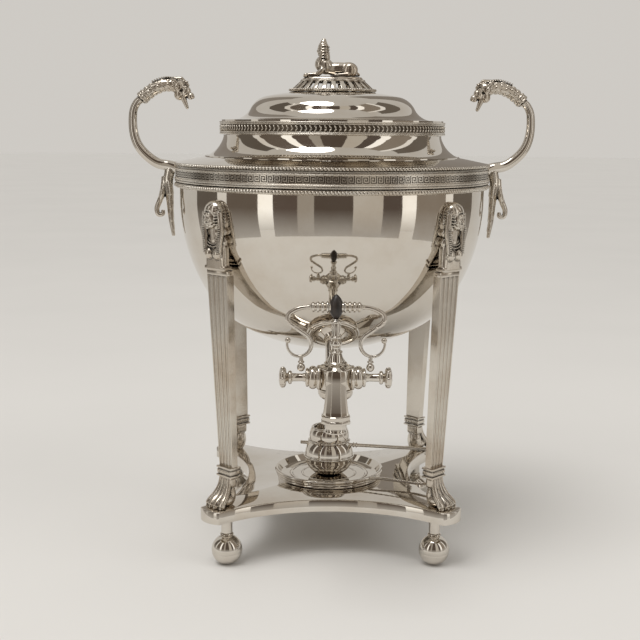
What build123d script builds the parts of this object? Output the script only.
from build123d import *
from math import cos, pi, radians, sin, sqrt
import os

os.makedirs("parts", exist_ok=True)

# Millimetres. +Z is up, the tap faces -Y, and the origin is on the table under the urn's axis.

# Ball feet and their studs
ball_radius = 12.4
ball_flat_radius = 3.0
ball_neck_radius = 4.5
foot_spread = 83.5
stud_radius = 2.0
stud_clearance = 0.05
stud_depth = 12.0

# Base plate: a square tray with round lobes and concave sides
plate_underside = 39.0
plate_depth = 10.0
plate_skin = 2.0
plate_wall = 2.2
lobe_radius = 21.0
crease_offset = 4.5
waist_reach = 70.0
plate_edge_round = 0.6

# Legs, from the paw up
paw_height = 23.6
paw_reach = 15.5
paw_heel = 8.0
paw_width = 20.0
ankle_width = 14.0
ankle_depth = 9.0
toe_radius = 3.4
leg_collar_height = 8.4
leg_collar_width = 17.0
leg_collar_depth = 11.0
shaft_bottom_spread = 82.0
shaft_top_spread = 87.5
shaft_height = 158.0
shaft_bottom_width = 15.5
shaft_top_width = 23.0
shaft_bottom_depth = 5.5
shaft_top_depth = 7.0
flute_count = 4
flute_depth = 1.4
bust_height = 58.0
bust_width = 24.0
bust_depth = 11.0
head_radius = 8.4
headdress_radius = 11.6
bust_clearance = 0.25

# Bowl profile: three arcs from the straight rim down to the bottom
bowl_radius = 126.5
bowl_wall = 1.6
bowl_side_arc = 150.0
bowl_side_turn = 32.0
bowl_corner_arc = 80.0
bowl_corner_turn = 60.0
bowl_spring_z = 290.0
rim_top_z = 316.6

# Mouldings and frieze round the rim
band_bottom_z = 298.6
lower_moulding_height = 8.2
frieze_height = 7.4
frieze_depth = 3.2
moulding_depth = 4.6

# Shoulder and neck
shoulder_radius = 130.6
shoulder_thickness = 1.8
neck_radius = 90.2
neck_top_z = 341.2
neck_foot_radius = 105.0
neck_foot_z = 323.6

# Cover
cover_gap = 0.3
cover_band_radius = 93.4
cover_band_height = 10.6
cover_wall = 1.4
cover_crown_z = 377.2
bezel_clearance = 0.5
bezel_depth = 9.0
bezel_wall = 1.2

# Gallery, plinth and sphinx
gallery_foot_radius = 35.0
gallery_top_radius = 25.6
gallery_height = 10.2
gallery_wall = 1.4
gallery_slots = 26
gallery_slot_width = 3.0
plinth_height = 2.0
plinth_length = 50.0
plinth_width = 24.0
overall_height = 420.0
finial_stud_radius = 2.0
finial_nut_radius = 4.5
finial_nut_height = 3.0

# Handles
tube_radius = 3.8
handle_root_x = 129.0
handle_root_z = 312.0
neck_scroll_radius = 5.3
handle_collar_radius = 6.2
handle_collar_length = 6.0
handle_head_width = 9.0
handle_mount_width = 14.0

# Tap
tap_reach = 168.0
tap_flange_radius = 20.5
tap_flange_thickness = 2.4
flange_z = 190.0
pipe_radius = 6.0
pipe_bore = 4.0
pipe_z = 166.5
body_radius = 12.5
body_bottom_z = 157.0
body_top_z = 181.0
plug_bottom_radius = 5.5
plug_top_radius = 7.0
plug_clearance = 0.05
cross_z = 172.0
cross_sleeve_radius = 8.9
cross_sleeve_end = 21.0
cross_rod_radius = 3.2
cross_disc_radius = 7.1
cross_disc_x = 38.0
cross_disc_thickness = 5.0
spout_offset = 12.5
spout_top_width = 15.0
spout_mouth_width = 19.0
spout_mouth_z = 148.0
spout_collar_height = 6.0
nozzle_bottom_z = 135.0
nozzle_radius = 8.0
nozzle_bore = 5.0

# Tap key
cap_radius = 8.0
cap_top_z = 191.5
stem_radius = 3.8
bead_z = 222.7
bead_half_height = 9.3
bead_radius = 5.0
ferrule_radius = 4.0
ferrule_end = 19.5
scroll_wire_radius = 1.4
scroll_sweep_radius = 22.0
scroll_turn_radius = 5.0
scroll_straight = 13.4
scroll_ring_radius = 8.6
key_ball_inset = 1.4
key_ball_radius = 3.0
key_ball_z = 179.3

# Lamp
tray_radius = 46.8
tray_height = 7.6
tray_floor = 1.4
tray_bead_radius = 1.5
tray_gap = 0.3
burner_foot_radius = 10.5
belly_radius = 21.0
belly_z = 67.0
waist_radius = 17.0
waist_z = 79.6
burner_top_radius = 17.2
burner_top_z = 92.4
burner_wall = 1.4
mouth_radius = 13.0
wick_radius = 4.5
wick_top_z = 86.5
lamp_rod_radius = 1.5
lamp_rod_end = 90.0
rod_swing = 11.0
stub_length = 7.5
tray_wire_end = 84.0

plate_top = plate_underside + plate_depth
paw_top = plate_top + paw_height
shaft_foot = paw_top + leg_collar_height
shaft_top = shaft_foot + shaft_height
bust_top = shaft_top + bust_height
ball_centre_z = sqrt(ball_radius**2 - ball_flat_radius**2)
frieze_bottom_z = band_bottom_z + lower_moulding_height
frieze_top_z = frieze_bottom_z + frieze_height
upper_moulding_top_z = rim_top_z
cover_seat_z = neck_top_z + cover_gap
cover_top_z = cover_seat_z + cover_band_height
gallery_foot_z = cover_crown_z - 0.9
gallery_top_z = gallery_foot_z + gallery_height
tray_foot_z = plate_top + tray_gap
tray_top_z = tray_foot_z + tray_height

corners = {
    "front_left": (-1, -1),
    "front_right": (1, -1),
    "back_left": (-1, 1),
    "back_right": (1, 1),
}
sides = {"left": -1, "right": 1}


def save(part, node):
    """Label one finished piece and write it under its node name."""
    part.label = node
    export_step(part, f"parts/{node}.step")


def corner_plane(signs, spread, height):
    """Plane at a corner of the stand: local X runs along the corner, local Y points outwards."""
    sx, sy = signs
    return Plane(origin=(sx * spread, sy * spread, height), x_dir=(sy, -sx, 0), z_dir=(0, 0, 1))


def egg(centre, along, long_radius, side_radius):
    """Add an egg-shaped solid whose long axis runs along a direction."""
    direction = Vector(*along).normalized()
    across = Vector(0, 0, 1) if abs(direction.Z) < 0.9 else Vector(1, 0, 0)
    with BuildSketch(Plane(origin=centre, x_dir=direction, z_dir=direction.cross(across))) as profile:
        Ellipse(long_radius, side_radius)
        Rectangle(3 * long_radius, 2 * side_radius, align=(Align.CENTER, Align.MAX), mode=Mode.SUBTRACT)
    revolve(profile.sketch, axis=Axis(centre, direction))


def ring(radius, height, wire):
    """Add a round ring of wire about the Z axis."""
    with BuildSketch(Plane.XZ) as profile:
        with Locations((radius, height)):
            Circle(wire)
    revolve(profile.sketch, axis=Axis.Z)


def bowl_outline(inset):
    """Right half of the bowl's profile, moved inwards by a wall."""
    side = bowl_side_arc - inset
    corner = bowl_corner_arc - inset
    side_centre_x = bowl_radius - bowl_side_arc
    turn = radians(bowl_side_turn)
    corner_x = side_centre_x + (bowl_side_arc - bowl_corner_arc) * cos(turn)
    corner_z = bowl_spring_z - (bowl_side_arc - bowl_corner_arc) * sin(turn)
    end = radians(bowl_corner_turn)
    base_arc = corner_x / cos(end) + bowl_corner_arc
    base_z = corner_z + corner_x * sin(end) / cos(end)
    base_bottom = base_z - base_arc + inset
    CenterArc((side_centre_x, bowl_spring_z), side, 0, -bowl_side_turn)
    CenterArc((corner_x, corner_z), corner, -bowl_side_turn, bowl_side_turn - bowl_corner_turn)
    base = CenterArc((0, base_z), base_arc - inset, -bowl_corner_turn, bowl_corner_turn - 90)
    Line((bowl_radius - inset, bowl_spring_z), (bowl_radius - inset, rim_top_z))
    Line((bowl_radius - inset, rim_top_z), (0, rim_top_z))
    Line((0, rim_top_z), base @ 1)
    return base_bottom


# The bowl's full outer shape, used to fit what lies against it
with BuildPart() as bowl_envelope:
    with BuildSketch(Plane.XZ):
        with BuildLine():
            bowl_outline(0)
        make_face()
    revolve(axis=Axis.Z)

# Where the tap's flange lies on the lower front of the bowl
flange_corner_x = (bowl_radius - bowl_side_arc) + (bowl_side_arc - bowl_corner_arc) * cos(radians(bowl_side_turn))
flange_corner_z = bowl_spring_z - (bowl_side_arc - bowl_corner_arc) * sin(radians(bowl_side_turn))
flange_drop = flange_corner_z - flange_z
flange_y = -(flange_corner_x + sqrt(bowl_corner_arc**2 - flange_drop**2))
flange_out = Vector(0, flange_y + flange_corner_x, -flange_drop).normalized()
flange_plane = Plane(origin=(0, flange_y, flange_z), x_dir=(1, 0, 0), z_dir=flange_out)

with BuildPart() as bowl:
    with BuildSketch(Plane.XZ):
        with BuildLine():
            bowl_outline(0)
        make_face()
    revolve(axis=Axis.Z)
    with BuildSketch(Plane.XZ):
        with BuildLine():
            bowl_outline(bowl_wall)
        make_face()
    revolve(axis=Axis.Z, mode=Mode.SUBTRACT)
    with BuildSketch(flange_plane.offset(10)):
        Circle(pipe_radius)
    extrude(amount=-30, mode=Mode.SUBTRACT)
save(bowl.part, "bowl")

# Shoulder: a flat rim, a sweep up to the neck and an upright collar for the cover
with BuildPart() as shoulder:
    with BuildSketch(Plane.XZ):
        with BuildLine():
            outer = Polyline((shoulder_radius, rim_top_z), (shoulder_radius, rim_top_z + shoulder_thickness))
            slope = Line(outer @ 1, (neck_foot_radius, neck_foot_z))
            rise = ThreePointArc(slope @ 1, (94.6, 331.2), (neck_radius, neck_top_z - 1.5))
            Polyline(rise @ 1, (neck_radius, neck_top_z), (neck_radius - shoulder_thickness, neck_top_z))
            inner_rise = ThreePointArc(
                (neck_radius - shoulder_thickness, neck_top_z),
                (93.0, 330.4),
                (neck_foot_radius - 0.6, neck_foot_z - shoulder_thickness),
            )
            Polyline(inner_rise @ 1, (bowl_radius - bowl_wall, rim_top_z), outer @ 0)
        make_face()
    revolve(axis=Axis.Z)
save(shoulder.part, "shoulder")


def band_ring(node, bottom, height, depth, crown):
    """One ring of the rim's band: a flat strip, or a rounded moulding with a crown."""
    with BuildPart() as band:
        with BuildSketch(Plane.XZ):
            with Locations((bowl_radius, bottom)):
                Rectangle(depth, height, align=(Align.MIN, Align.MIN))
        revolve(axis=Axis.Z)
        if crown:
            fillet(band.edges().filter_by(GeomType.CIRCLE).sort_by(SortBy.RADIUS)[-2:], crown)
    save(band.part, node)


band_ring("lower_moulding", band_bottom_z, lower_moulding_height, moulding_depth, 1.6)
band_ring("key_frieze", frieze_bottom_z, frieze_height, frieze_depth, 0)
band_ring("upper_moulding", frieze_top_z, upper_moulding_top_z - frieze_top_z, moulding_depth, 0.9)

# Cover
bezel_radius = neck_radius - shoulder_thickness - bezel_clearance
with BuildPart() as cover_band:
    with BuildSketch(Plane.XZ):
        with Locations((bezel_radius, cover_seat_z)):
            Rectangle(cover_band_radius - bezel_radius, cover_band_height, align=(Align.MIN, Align.MIN))
    revolve(axis=Axis.Z)
    fillet(cover_band.edges().filter_by(GeomType.CIRCLE).sort_by(SortBy.RADIUS)[-2:], 1.2)
save(cover_band.part, "cover_band")

with BuildPart() as cover_bezel:
    with BuildSketch(Plane.XZ):
        with Locations((bezel_radius, cover_seat_z + 3)):
            Rectangle(bezel_wall, bezel_depth + 3, align=(Align.MAX, Align.MAX))
    revolve(axis=Axis.Z)
save(cover_bezel.part, "cover_bezel")

with BuildPart() as cover_dome:
    with BuildSketch(Plane.XZ):
        with BuildLine():
            crown = ThreePointArc((0, cover_crown_z), (30, cover_crown_z - 0.7), (56, cover_crown_z - 4.6))
            brow = TangentArc(crown @ 1, (67.6, 363.4), tangent=crown % 1)
            flare = ThreePointArc(brow @ 1, (72.2, 357.4), (84.0, cover_top_z + 1.4))
            lip = Polyline(
                flare @ 1,
                (neck_radius + 1.4, cover_top_z + 1.2),
                (neck_radius + 1.4, cover_top_z),
                (84.0, cover_top_z),
            )
            under = ThreePointArc(lip @ 1, (71.0, 356.0), (66.2, 362.6))
            inner_brow = Line(under @ 1, (54.6, 371.0))
            inner = ThreePointArc(
                inner_brow @ 1,
                (30, cover_crown_z - 0.7 - cover_wall),
                (0, cover_crown_z - cover_wall),
            )
            Line(inner @ 1, crown @ 0)
        make_face()
    revolve(axis=Axis.Z)
    with BuildSketch(Plane.XY.offset(cover_crown_z - 5)):
        Circle(finial_stud_radius + stud_clearance)
    extrude(amount=10, mode=Mode.SUBTRACT)
save(cover_dome.part, "cover_dome")

# Gallery: a pierced cone with a flat top that carries the sphinx
with BuildPart() as gallery:
    with BuildSketch(Plane.XZ):
        with BuildLine():
            Polyline(
                (gallery_foot_radius, gallery_foot_z),
                (gallery_top_radius, gallery_top_z - 1.2),
                (gallery_top_radius, gallery_top_z),
                (0, gallery_top_z),
                (0, gallery_top_z - gallery_wall),
                (gallery_top_radius - gallery_wall, gallery_top_z - gallery_wall),
                (gallery_foot_radius - 2 * gallery_wall, gallery_foot_z),
                close=True,
            )
        make_face()
    revolve(axis=Axis.Z)
    with BuildSketch(Plane.YZ.offset(gallery_top_radius - 4)):
        with Locations((0, (gallery_foot_z + gallery_top_z) / 2 - 0.4)):
            SlotOverall(gallery_height - 4.6, gallery_slot_width * 0.6, rotation=90)
    slot = extrude(amount=gallery_foot_radius, mode=Mode.PRIVATE)
    for turn in range(gallery_slots):
        add(slot.rotate(Axis.Z, turn * 360 / gallery_slots), mode=Mode.SUBTRACT)
    ring(gallery_foot_radius, gallery_foot_z + 1.3, 1.2)
    with BuildSketch(Plane.XY.offset(gallery_foot_z - 10)):
        Circle(gallery_foot_radius + 5)
    extrude(amount=10.2, mode=Mode.SUBTRACT)
    with BuildSketch(Plane.XY.offset(gallery_foot_z)):
        Circle(finial_stud_radius + stud_clearance)
    extrude(amount=gallery_height * 2, mode=Mode.SUBTRACT)
save(gallery.part, "gallery")

plinth_top = gallery_top_z + plinth_height

# Sphinx lying along the plinth, facing the viewer's left
with BuildPart() as sphinx:
    with BuildSketch(Plane.XY.offset(gallery_top_z)):
        Ellipse(plinth_length / 2, plinth_width / 2)
    extrude(amount=plinth_height)
    egg((4, 0, plinth_top + 7.0), (1, 0, 0.05), 17.5, 6.6)
    egg((-9, 0, plinth_top + 10.0), (-0.35, 0, 1), 11.5, 6.6)
    egg((-8.5, 0, overall_height - 7.6), (0, 0, 1), 7.6, 5.0)
    egg((-5.5, 0, overall_height - 12.5), (0.3, 0, 1), 9.5, 5.6)
    for side in (-1, 1):
        egg((-15.5, side * 4.2, plinth_top + 1.8), (1, 0, 0), 8.8, 2.3)
        egg((14, side * 5.4, plinth_top + 5.0), (0.5, 0, 1), 6.6, 4.2)
        egg((12, side * 7.4, plinth_top + 1.6), (1, 0, 0), 7.5, 2.0)
    with BuildSketch(Plane.XY.offset(plinth_top - 20)):
        Rectangle(4 * plinth_length, 4 * plinth_length)
    extrude(amount=20 - plinth_height, mode=Mode.SUBTRACT)
    with BuildSketch(Plane.XY.offset(gallery_top_z)):
        Circle(finial_stud_radius + stud_clearance)
    extrude(amount=4, mode=Mode.SUBTRACT)
save(sphinx.part, "sphinx")

with BuildPart() as finial_stud:
    nut_top = cover_crown_z - cover_wall
    with BuildSketch(Plane.XY.offset(nut_top - finial_nut_height)):
        RegularPolygon(finial_nut_radius, 6)
    extrude(amount=finial_nut_height)
    with BuildSketch(Plane.XY.offset(nut_top)):
        Circle(finial_stud_radius)
    extrude(amount=gallery_top_z + 3.5 - nut_top)
save(finial_stud.part, "finial_stud")

# Base plate
crease_y = sqrt(lobe_radius**2 - crease_offset**2)


def plate_outline():
    """Four concave sides joined by round lobes."""
    crease = foot_spread + crease_offset
    reach = foot_spread + crease_y
    tip = foot_spread + lobe_radius * cos(pi / 4)
    spots = [(-crease, -reach), (0, -waist_reach), (crease, -reach), (tip, -tip), (reach, -crease)]
    for turn in range(4):
        start, waist, left, nose, end = [Vector(*spot).rotate(Axis.Z, 90 * turn) for spot in spots]
        ThreePointArc(start, waist, left)
        ThreePointArc(left, nose, end)


corner_spots = [(sx * foot_spread, sy * foot_spread) for sx, sy in corners.values()]

with BuildPart() as base_plate:
    with BuildSketch(Plane.XY.offset(plate_underside)):
        with BuildLine():
            plate_outline()
        make_face()
    extrude(amount=plate_depth)
    top_face = base_plate.faces().sort_by(Axis.Z)[-1]
    with BuildSketch(Plane.XY.offset(plate_underside)):
        with BuildLine():
            plate_outline()
        make_face()
        offset(amount=-plate_wall, mode=Mode.REPLACE)
    extrude(amount=plate_depth - plate_skin, mode=Mode.SUBTRACT)
    chamfer(base_plate.edges().group_by(Axis.Z)[-1], plate_edge_round)
    with Locations(*[(x, y, plate_top) for x, y in corner_spots]):
        Hole(stud_radius + stud_clearance, depth=plate_depth)
save(base_plate.part, "base_plate")

neck_top = plate_top - plate_skin
for name, (sx, sy) in corners.items():
    with BuildPart() as ball_foot:
        spot = (sx * foot_spread, sy * foot_spread)
        with BuildSketch(Plane.XZ.offset(-spot[1])):
            with Locations((spot[0], ball_centre_z)):
                Circle(ball_radius)
                Rectangle(ball_radius, 3 * ball_radius, align=(Align.MAX, Align.CENTER), mode=Mode.SUBTRACT)
        revolve(axis=Axis((*spot, 0), (0, 0, 1)))
        with BuildSketch(Plane.XY.offset(-5)):
            with Locations(spot):
                Circle(ball_radius)
        extrude(amount=5, mode=Mode.SUBTRACT)
        with BuildSketch(Plane.XY.offset(ball_centre_z)):
            with Locations(spot):
                Circle(ball_neck_radius)
        extrude(amount=neck_top - ball_centre_z)
        with Locations((*spot, neck_top)):
            Hole(stud_radius + stud_clearance, depth=neck_top - ball_centre_z)
    save(ball_foot.part, f"ball_foot_{name}")

with BuildPart() as foot_studs:
    with BuildSketch(Plane.XY.offset(ball_centre_z + 1)):
        with Locations(*corner_spots):
            Circle(stud_radius)
    extrude(amount=plate_top + stud_depth - ball_centre_z - 2)
save(foot_studs.part, "foot_studs")

# Legs
lean = (shaft_top_spread - shaft_bottom_spread) / shaft_height


def leg_spread(height):
    """Half the distance between leg centres at a height above the table."""
    return shaft_bottom_spread + (height - shaft_foot) * lean


front_right = corners["front_right"]


def save_at_corners(part, node):
    """Write one copy of a front right piece for each corner of the stand."""
    for turn, name in enumerate(["front_right", "back_right", "back_left", "front_left"]):
        save(part.rotate(Axis.Z, 90 * turn), f"{node}_{name}")


with BuildPart() as leg_paw:
    sole = corner_plane(front_right, foot_spread, plate_top)
    sole_middle = (paw_reach - paw_heel) / 2
    with BuildSketch(sole):
        with Locations((0, sole_middle)):
            RectangleRounded(paw_width, paw_reach + paw_heel, 5)
    with BuildSketch(sole.offset(7)):
        with Locations((0, sole_middle - 1)):
            RectangleRounded(paw_width - 1.5, paw_reach + paw_heel - 3, 5)
    with BuildSketch(sole.offset(14)):
        with Locations((0, -0.5)):
            RectangleRounded(ankle_width + 1.5, paw_heel + 7, 3.5)
    with BuildSketch(sole.offset(paw_height)):
        with Locations((0, -1.5)):
            RectangleRounded(ankle_width, ankle_depth, 3)
    loft(ruled=True)
    for toe in range(4):
        toe_x = (toe - 1.5) * paw_width / 4
        toe_centre = sole.from_local_coords((toe_x, paw_reach - 0.5, toe_radius - 0.4))
        egg(toe_centre, (1, -1, 0), toe_radius + 2, toe_radius)
    with BuildSketch(sole):
        Rectangle(4 * paw_width, 4 * paw_width)
    extrude(amount=-10, mode=Mode.SUBTRACT)
    with BuildSketch(sole):
        Circle(stud_radius + stud_clearance)
    extrude(amount=stud_depth, mode=Mode.SUBTRACT)
save_at_corners(leg_paw.part, "leg_paw")

with BuildPart() as leg_shaft:
    foot = corner_plane(front_right, leg_spread(shaft_foot), shaft_foot)
    top = corner_plane(front_right, leg_spread(shaft_top), shaft_top)
    with BuildSketch(foot):
        Rectangle(shaft_bottom_width, shaft_bottom_depth)
    with BuildSketch(top):
        Rectangle(shaft_top_width, shaft_top_depth)
    loft(ruled=True)
    for flute in range(flute_count):
        share = (flute - (flute_count - 1) / 2) / (flute_count + 1.2)
        pitch = 0.55 / (flute_count + 1.2)
        with BuildSketch(foot.offset(2)):
            with Locations((share * shaft_bottom_width, shaft_bottom_depth / 2)):
                Rectangle(pitch * shaft_bottom_width, 2 * flute_depth)
        with BuildSketch(top.offset(-4)):
            with Locations((share * shaft_top_width, shaft_top_depth / 2)):
                Rectangle(pitch * shaft_top_width, 2 * flute_depth)
        loft(ruled=True, mode=Mode.SUBTRACT)
save_at_corners(leg_shaft.part, "leg_shaft")

# Stacked cones just outside the bowl's side, to fit the busts against it
fit_heights = [shaft_top - 12, shaft_top, shaft_top + 14, shaft_top + 28, bowl_spring_z - 8, bowl_spring_z + 4, rim_top_z]


def bowl_side_radius(height):
    """Outer radius of the bowl at a height on its side."""
    drop = max(0, bowl_spring_z - height)
    return bowl_radius - bowl_side_arc + sqrt(bowl_side_arc**2 - drop**2)


with BuildPart() as bust_fit:
    with BuildSketch(Plane.XZ):
        with BuildLine():
            fit = Polyline(*[(bowl_side_radius(height) + bust_clearance, height) for height in fit_heights])
            Polyline(fit @ 1, (0, rim_top_z), (0, fit_heights[0]), fit @ 0)
        make_face()
    revolve(axis=Axis.Z)


def dot(centre, radius):
    """Add a round ball."""
    with Locations(centre):
        Sphere(radius)


# Bust: a tapered chest, lappets, a face and a rounded headdress
with BuildPart() as leg_bust:
    foot = corner_plane(front_right, leg_spread(shaft_top), shaft_top)
    neck = corner_plane(front_right, leg_spread(shaft_top) + 2.5, shaft_top + 26)
    crest = corner_plane(front_right, leg_spread(shaft_top) + 3.5, bust_top)
    with BuildSketch(foot):
        Rectangle(bust_width, bust_depth - 2)
    with BuildSketch(neck):
        Rectangle(bust_width - 3, bust_depth)
    loft(ruled=True)
    for side in (-1, 1):
        dot(foot.from_local_coords((side * 5, 4.1, 12)), 4.6)
    with BuildSketch(foot.offset(24)):
        with Locations((0, 3.2)):
            Rectangle(2 * headdress_radius - 1.2, 9)
    extrude(amount=16)
    with BuildSketch(crest.offset(-headdress_radius)):
        with Locations((0, 0.5)):
            Circle(headdress_radius)
    extrude(amount=-14)
    dot(crest.from_local_coords((0, 0.5, -headdress_radius)), headdress_radius)
    dot(crest.from_local_coords((0, 4.6, -13.5)), head_radius)
    dot(crest.from_local_coords((0, 4.8, -18)), head_radius - 0.8)
    add(bust_fit.part, mode=Mode.SUBTRACT)
    with BuildSketch(foot):
        Rectangle(4 * bust_width, 4 * bust_width)
    extrude(amount=-20, mode=Mode.SUBTRACT)
save_at_corners(leg_bust.part, "leg_bust")

with BuildPart() as leg_collars:
    for signs in corners.values():
        with BuildSketch(corner_plane(signs, shaft_bottom_spread, paw_top)):
            Rectangle(leg_collar_width, leg_collar_depth)
        extrude(amount=leg_collar_height)
save(leg_collars.part, "leg_collars")

# Handles: a C-scroll tube from the rim, a ringed collar, then a neck that ends in an animal's head
for name, side in sides.items():
    flip = Plane(origin=(0, 0, 0), x_dir=(side, 0, 0), z_dir=(0, -side, 0))
    with BuildPart() as handle_tube:
        with BuildLine(flip) as tube_path:
            low = ThreePointArc((handle_root_x, handle_root_z), (153, 322.5), (165.2, 344))
            high = TangentArc(low @ 1, (159.5, 369.5), tangent=low % 1)
        with BuildSketch(Plane(origin=tube_path.line @ 0, z_dir=tube_path.line % 0)):
            Circle(tube_radius)
        sweep(path=tube_path.line)
        with BuildSketch(Plane.XY.offset(band_bottom_z)):
            Circle(bowl_radius + moulding_depth)
        extrude(amount=rim_top_z + 3 - band_bottom_z, mode=Mode.SUBTRACT)
    save(handle_tube.part, f"handle_tube_{name}")

    tip = tube_path.line @ 1
    tip_direction = tube_path.line % 1
    with BuildPart() as handle_collar:
        with BuildSketch(Plane(origin=tip, z_dir=tip_direction)):
            Circle(handle_collar_radius)
        extrude(amount=handle_collar_length)
        fillet(handle_collar.edges().filter_by(GeomType.CIRCLE), 1.4)
    save(handle_collar.part, f"handle_collar_{name}")

    neck_start = tip + tip_direction * handle_collar_length
    with BuildPart() as handle_head:
        start = flip.to_local_coords(neck_start)
        heading = flip.to_local_coords(tip + tip_direction) - flip.to_local_coords(tip)
        with BuildLine(flip) as neck_path:
            rise = TangentArc((start.X, start.Y), (137, 381.2), tangent=(heading.X, heading.Y))
            over = TangentArc(rise @ 1, (126.5, 378.6), tangent=rise % 1)
        with BuildSketch(Plane(origin=neck_path.line @ 0, z_dir=neck_path.line % 0)):
            Circle(neck_scroll_radius)
        sweep(path=neck_path.line)
        with BuildSketch(flip):
            with BuildLine():
                Polyline(
                    (131, 385.5), (124.5, 388.4), (120.5, 381), (114.6, 374.2), (113.8, 370.6),
                    (118.6, 369.4), (118.0, 361.8), (120.6, 360.8), (124.6, 366.6), (130, 374.5),
                    close=True,
                )
            make_face()
        extrude(amount=handle_head_width / 2, both=True)
    save(handle_head.part, f"handle_head_{name}")

    with BuildPart() as handle_mount:
        with BuildSketch(flip):
            with BuildLine():
                back = Line((bowl_radius - 6, 256), (bowl_radius - 1, band_bottom_z))
                Polyline(
                    back @ 1, (bowl_radius - 1, handle_root_z), (143, handle_root_z + 4), (141, 306),
                    (142.5, 296), (146.6, 284), (148.6, 276),
                    (145, 270.4), (139.5, 268), (136.4, 261), (131, 254.8), back @ 0,
                )
            make_face()
        extrude(amount=handle_mount_width / 2, both=True)
        add(bowl_envelope.part, mode=Mode.SUBTRACT)
        add(handle_tube.part, mode=Mode.SUBTRACT)
        with BuildSketch(Plane.XY.offset(band_bottom_z)):
            Circle(bowl_radius + moulding_depth)
        extrude(amount=30, mode=Mode.SUBTRACT)
    save(handle_mount.part, f"handle_mount_{name}")

# Tap: flange on the bowl, a pipe that runs low under the key, a body with a tapered bore
with BuildPart() as tap_flange:
    with BuildSketch(flange_plane.offset(-4)):
        Circle(tap_flange_radius)
        Circle(pipe_radius, mode=Mode.SUBTRACT)
    extrude(amount=4 + tap_flange_thickness)
    add(bowl_envelope.part, mode=Mode.SUBTRACT)
save(tap_flange.part, "tap_flange")

with BuildPart() as tap_backnut:
    with BuildSketch(flange_plane.offset(-bowl_wall - 2.6)):
        RegularPolygon(pipe_radius + 4, 6)
        Circle(pipe_radius, mode=Mode.SUBTRACT)
    extrude(amount=-4)
save(tap_backnut.part, "tap_backnut")

body_back = -tap_reach + body_radius
pipe_turn_y = flange_y + (flange_z - pipe_z) / -flange_out.Z * flange_out.Y
pipe_corner = (pipe_turn_y, pipe_z)
pipe_inner = flange_plane.origin - flange_out * (bowl_wall + 8)
with BuildPart() as tap_pipe:
    with BuildLine(Plane.YZ) as pipe_path:
        FilletPolyline((pipe_inner.Y, pipe_inner.Z), pipe_corner, (body_back, pipe_z), radius=12)
    with BuildSketch(Plane(origin=pipe_path.line @ 0, z_dir=pipe_path.line % 0)):
        Circle(pipe_radius)
        Circle(pipe_bore, mode=Mode.SUBTRACT)
    sweep(path=pipe_path.line)
    with BuildSketch(Plane.XY.offset(body_bottom_z - 5)):
        with Locations((0, -tap_reach)):
            Circle(body_radius)
    extrude(amount=60, mode=Mode.SUBTRACT)
save(tap_pipe.part, "tap_pipe")

tap_axis = Axis((0, -tap_reach, 0), (0, 0, 1))
tap_xz = Plane.XZ.offset(tap_reach)
with BuildPart() as tap_body:
    with BuildSketch(tap_xz):
        with BuildLine():
            Polyline(
                (0, body_bottom_z), (9, body_bottom_z), (body_radius, body_bottom_z + 4),
                (body_radius, body_top_z - 5), (9.5, body_top_z), (0, body_top_z),
                close=True,
            )
        make_face()
    revolve(axis=tap_axis)
    with BuildSketch(Plane.XY.offset(body_bottom_z)):
        with Locations((0, -tap_reach)):
            Circle(plug_bottom_radius + plug_clearance)
    with BuildSketch(Plane.XY.offset(body_top_z)):
        with Locations((0, -tap_reach)):
            Circle(plug_top_radius + plug_clearance)
    loft(mode=Mode.SUBTRACT)
    with BuildSketch(Plane.XZ.offset(tap_reach - 2 * body_radius)):
        with Locations((0, pipe_z)):
            Circle(pipe_bore)
    extrude(amount=4 * body_radius, mode=Mode.SUBTRACT)
save(tap_body.part, "tap_body")

with BuildPart() as tap_cross_arms:
    for side in (-1, 1):
        arm = Plane(origin=(0, -tap_reach, cross_z), x_dir=(0, 1, 0), z_dir=(side, 0, 0))
        with BuildSketch(arm.offset(9)):
            Circle(cross_sleeve_radius)
        extrude(amount=cross_sleeve_end - 9)
        with BuildSketch(arm.offset(cross_sleeve_end)):
            Circle(cross_rod_radius)
        extrude(amount=cross_disc_x - cross_sleeve_end)
        with BuildSketch(arm.offset(32)):
            Circle(cross_rod_radius + 1.6)
        extrude(amount=1.6)
        with BuildSketch(arm.offset(cross_disc_x - cross_disc_thickness / 2)):
            Circle(cross_disc_radius)
        extrude(amount=cross_disc_thickness)
    with BuildSketch(Plane.XY.offset(body_bottom_z - 5)):
        with Locations((0, -tap_reach)):
            Circle(body_radius)
    extrude(amount=60, mode=Mode.SUBTRACT)
save(tap_cross_arms.part, "tap_cross_arms")

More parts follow.
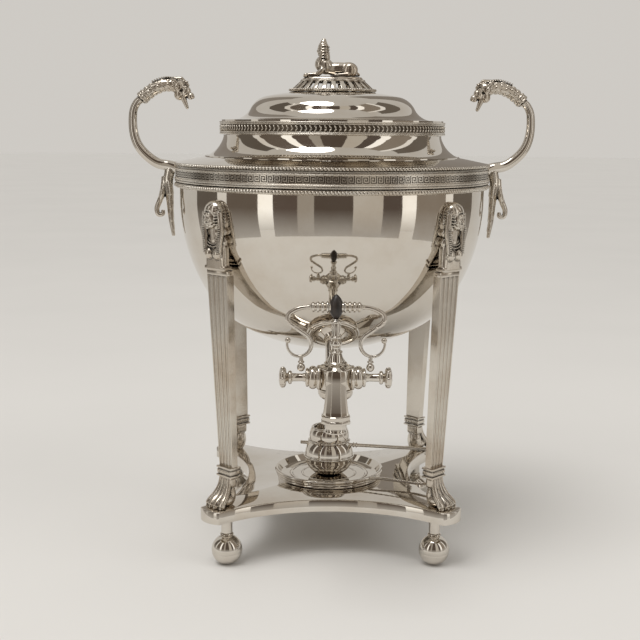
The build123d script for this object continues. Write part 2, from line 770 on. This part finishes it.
# Spout: an eight-sided elbow in front of the body, then a collar and a round nozzle
spout_y = -tap_reach - spout_offset
spout_collar_z = spout_mouth_z - spout_collar_height
with BuildPart() as tap_spout:
    with BuildSketch(Plane.XY.offset(body_top_z - 1)):
        with Locations((0, spout_y + 2)):
            RegularPolygon(spout_top_width / 2 - 1, 8, major_radius=False, rotation=22.5)
    with BuildSketch(Plane.XY.offset(cross_z + 3)):
        with Locations((0, spout_y)):
            RegularPolygon(spout_top_width / 2, 8, major_radius=False, rotation=22.5)
    with BuildSketch(Plane.XY.offset(spout_mouth_z)):
        with Locations((0, spout_y)):
            RegularPolygon(spout_mouth_width / 2, 8, major_radius=False, rotation=22.5)
    loft(ruled=True)
    with BuildSketch(Plane.XY.offset(spout_collar_z)):
        with Locations((0, spout_y)):
            RegularPolygon(spout_mouth_width / 2 + 0.8, 8, major_radius=False, rotation=22.5)
    extrude(amount=spout_collar_height)
    with BuildSketch(Plane.XY.offset(body_bottom_z - 20)):
        with Locations((0, -tap_reach)):
            Circle(body_radius)
    extrude(amount=60, mode=Mode.SUBTRACT)
    with BuildSketch(Plane.XY.offset(spout_collar_z)):
        with Locations((0, spout_y)):
            Circle(nozzle_bore)
    extrude(amount=pipe_z + pipe_bore - spout_collar_z, mode=Mode.SUBTRACT)
    with BuildSketch(Plane.XZ.offset(tap_reach)):
        with Locations((0, pipe_z)):
            Circle(pipe_bore)
    extrude(amount=spout_offset, mode=Mode.SUBTRACT)
save(tap_spout.part, "tap_spout")

with BuildPart() as tap_nozzle:
    with BuildSketch(Plane.XY.offset(nozzle_bottom_z)):
        with Locations((0, spout_y)):
            Circle(nozzle_radius)
            Circle(nozzle_bore, mode=Mode.SUBTRACT)
    extrude(amount=spout_collar_z - nozzle_bottom_z)
save(tap_nozzle.part, "tap_nozzle")

# Key: a tapered plug under the stem, which turns the tap through a quarter
with BuildPart() as tap_plug:
    with BuildSketch(Plane.XY.offset(body_bottom_z)):
        with Locations((0, -tap_reach)):
            Circle(plug_bottom_radius)
    with BuildSketch(Plane.XY.offset(body_top_z)):
        with Locations((0, -tap_reach)):
            Circle(plug_top_radius)
    loft()
    with BuildSketch(Plane.XY.offset(body_bottom_z - 8)):
        with Locations((0, -tap_reach)):
            Circle(2)
    extrude(amount=8)
    with BuildSketch(Plane.YZ.offset(-2 * body_radius)):
        with Locations((-tap_reach, pipe_z)):
            Circle(pipe_bore - 0.5)
    extrude(amount=4 * body_radius, mode=Mode.SUBTRACT)
save(tap_plug.part, "tap_plug")

with BuildPart() as plug_washer_nut:
    with BuildSketch(Plane.XY.offset(body_bottom_z - cover_gap)):
        with Locations((0, -tap_reach)):
            Circle(7)
            Circle(2, mode=Mode.SUBTRACT)
    extrude(amount=-1.2)
    with BuildSketch(Plane.XY.offset(body_bottom_z - cover_gap - 1.2)):
        with Locations((0, -tap_reach)):
            RegularPolygon(4.6, 6)
            Circle(2, mode=Mode.SUBTRACT)
    extrude(amount=-4)
save(plug_washer_nut.part, "plug_washer_nut")

cap_foot_z = body_top_z + cover_gap
with BuildPart() as key_stem:
    with BuildSketch(tap_xz):
        with BuildLine():
            Polyline(
                (0, body_top_z), (plug_top_radius, body_top_z), (plug_top_radius, cap_foot_z),
                (cap_radius, cap_foot_z), (cap_radius, cap_foot_z + 1.5), (stem_radius + 0.6, cap_top_z - 2),
                (2.4, cap_top_z + 2), (stem_radius, cap_top_z + 4), (stem_radius, cap_top_z + 7),
                (2.6, cap_top_z + 8.6), (stem_radius, cap_top_z + 10.4), (stem_radius - 0.5, bead_z - 8),
                (0, bead_z - 8),
                close=True,
            )
        make_face()
    revolve(axis=tap_axis)
save(key_stem.part, "key_stem")

with BuildPart() as key_bead:
    egg((0, -tap_reach, bead_z), (0, 0, 1), bead_half_height, bead_radius)
    add(key_stem.part, mode=Mode.SUBTRACT)
    with BuildSketch(Plane.YZ.offset(-2 * bead_radius)):
        with Locations((-tap_reach, bead_z)):
            Circle(1.2)
    extrude(amount=4 * bead_radius, mode=Mode.SUBTRACT)
save(key_bead.part, "key_bead")

with BuildPart() as key_ferrules:
    for side in (-1, 1):
        arm = Plane(origin=(0, -tap_reach, bead_z), x_dir=(0, 1, 0), z_dir=(side, 0, 0))
        with BuildSketch(arm.offset(bead_radius - 0.6)):
            Circle(ferrule_radius - 0.8)
        extrude(amount=ferrule_end - bead_radius + 0.6)
        for groove in (7.5, 12.5, 16.5):
            with BuildSketch(arm.offset(groove)):
                Circle(ferrule_radius)
            extrude(amount=2)
    add(key_bead.part, mode=Mode.SUBTRACT)
save(key_ferrules.part, "key_ferrules")

for name, side in sides.items():
    tap_flip = Plane(origin=(0, -tap_reach, 0), x_dir=(side, 0, 0), z_dir=(0, -side, 0))
    with BuildPart() as key_scroll:
        with BuildLine(tap_flip) as scroll_path:
            out = JernArc((ferrule_end, bead_z), (1, 0), scroll_sweep_radius, -35)
            turn = JernArc(out @ 1, out % 1, scroll_turn_radius, -110)
            inward = Line(turn @ 1, turn @ 1 + (turn % 1) * scroll_straight)
            curl = JernArc(inward @ 1, inward % 1, scroll_ring_radius, 255)
        with BuildSketch(Plane(origin=scroll_path.line @ 0, z_dir=scroll_path.line % 0)):
            Circle(scroll_wire_radius)
        sweep(path=scroll_path.line)
        ring_centre = curl.arc_center
        ring_bottom_z = ring_centre.Z - scroll_ring_radius
        ball_x = ring_centre.X - side * key_ball_inset
        egg((ball_x, -tap_reach, key_ball_z), (0, 0, 1), key_ball_radius, key_ball_radius)
        with BuildSketch(Plane.XY.offset(key_ball_z)):
            with Locations((ball_x, -tap_reach)):
                Circle(1.6)
        extrude(amount=ring_bottom_z - key_ball_z)
    save(key_scroll.part, f"key_scroll_{name}")

# Lamp
with BuildPart() as lamp_tray:
    with BuildSketch(Plane.XZ):
        with BuildLine():
            Polyline(
                (0, tray_foot_z), (tray_radius - 3, tray_foot_z), (tray_radius - 1, tray_top_z - 1.5),
                (tray_radius - 1, tray_top_z), (tray_radius - 2.8, tray_top_z),
                (tray_radius - 5, tray_foot_z + tray_floor), (0, tray_foot_z + tray_floor),
                close=True,
            )
        make_face()
    revolve(axis=Axis.Z)
    ring(tray_radius - tray_bead_radius, tray_top_z - tray_bead_radius, tray_bead_radius)
    ring(tray_radius - 2.4, tray_top_z - 4.0, 1.3)
    ring(tray_radius - 3.4, tray_foot_z + 1.3, 1.2)
save(lamp_tray.part, "lamp_tray")

with BuildPart() as tray_handle:
    with BuildLine() as wire_path:
        Polyline((34, -31.5, tray_top_z - 1.6), (60, -36, tray_top_z - 2.6), (tray_wire_end, -40, tray_top_z - 4))
    with BuildSketch(Plane(origin=wire_path.line @ 0, z_dir=wire_path.line % 0)):
        Circle(lamp_rod_radius - 0.2)
    sweep(path=wire_path.line, transition=Transition.ROUND)
    add(lamp_tray.part, mode=Mode.SUBTRACT)
save(tray_handle.part, "tray_handle")

burner_foot_z = tray_foot_z + tray_floor + tray_gap
with BuildPart() as burner_body:
    with BuildSketch(Plane.XZ):
        with BuildLine():
            base = Polyline((0, burner_foot_z), (burner_foot_radius, burner_foot_z))
            low = ThreePointArc(base @ 1, (18.4, 58.4), (belly_radius, belly_z))
            high = ThreePointArc(low @ 1, (20.2, 73.6), (waist_radius, waist_z))
            rim = Polyline(high @ 1, (waist_radius - burner_wall, waist_z))
            inner = ThreePointArc(rim @ 1, (18.6, 73), (belly_radius - burner_wall, belly_z))
            floor = ThreePointArc(inner @ 1, (17.2, 59.6), (burner_foot_radius, burner_foot_z + burner_wall))
            Polyline(floor @ 1, (0, burner_foot_z + burner_wall), base @ 0)
        make_face()
    revolve(axis=Axis.Z)
    ring(belly_radius, belly_z, 0.9)
save(burner_body.part, "burner_body")

with BuildPart() as burner_top:
    with BuildSketch(Plane.XZ):
        with BuildLine():
            outer = Polyline((0, waist_z), (waist_radius + 1.4, waist_z), (waist_radius + 1.4, waist_z + 1.6))
            side_arc = ThreePointArc(outer @ 1, (burner_top_radius, 85.6), (mouth_radius + 1.4, burner_top_z))
            lip = Polyline(side_arc @ 1, (mouth_radius, burner_top_z), (mouth_radius, 86.0), (14.4, 84.0))
            Polyline(lip @ 1, (14.4, waist_z + 1.6), (0, waist_z + 1.6), outer @ 0)
        make_face()
    revolve(axis=Axis.Z)
    with BuildSketch(Plane.XY.offset(waist_z)):
        Circle(wick_radius + stud_clearance)
    extrude(amount=5, mode=Mode.SUBTRACT)
save(burner_top.part, "burner_top")

with BuildPart() as wick:
    with BuildSketch(Plane.XY.offset(burner_foot_z + burner_wall + 2)):
        Circle(wick_radius)
    extrude(amount=wick_top_z - burner_foot_z - burner_wall - 2)
    fillet(wick.edges().sort_by(Axis.Z)[-1], 1.5)
save(wick.part, "wick")

with BuildPart() as burner_rod:
    rod_plane = Plane(origin=(0, 0, waist_z - 2.8), x_dir=(0, 0, 1), z_dir=Vector(1, 0, 0).rotate(Axis.Z, -rod_swing))
    with BuildSketch(rod_plane.offset(waist_radius + 1)):
        Circle(lamp_rod_radius)
    extrude(amount=lamp_rod_end - waist_radius - 1)
    with BuildSketch(rod_plane.offset(-waist_radius - 1)):
        Circle(lamp_rod_radius)
    extrude(amount=-stub_length)
    add(burner_body.part, mode=Mode.SUBTRACT)
save(burner_rod.part, "burner_rod")
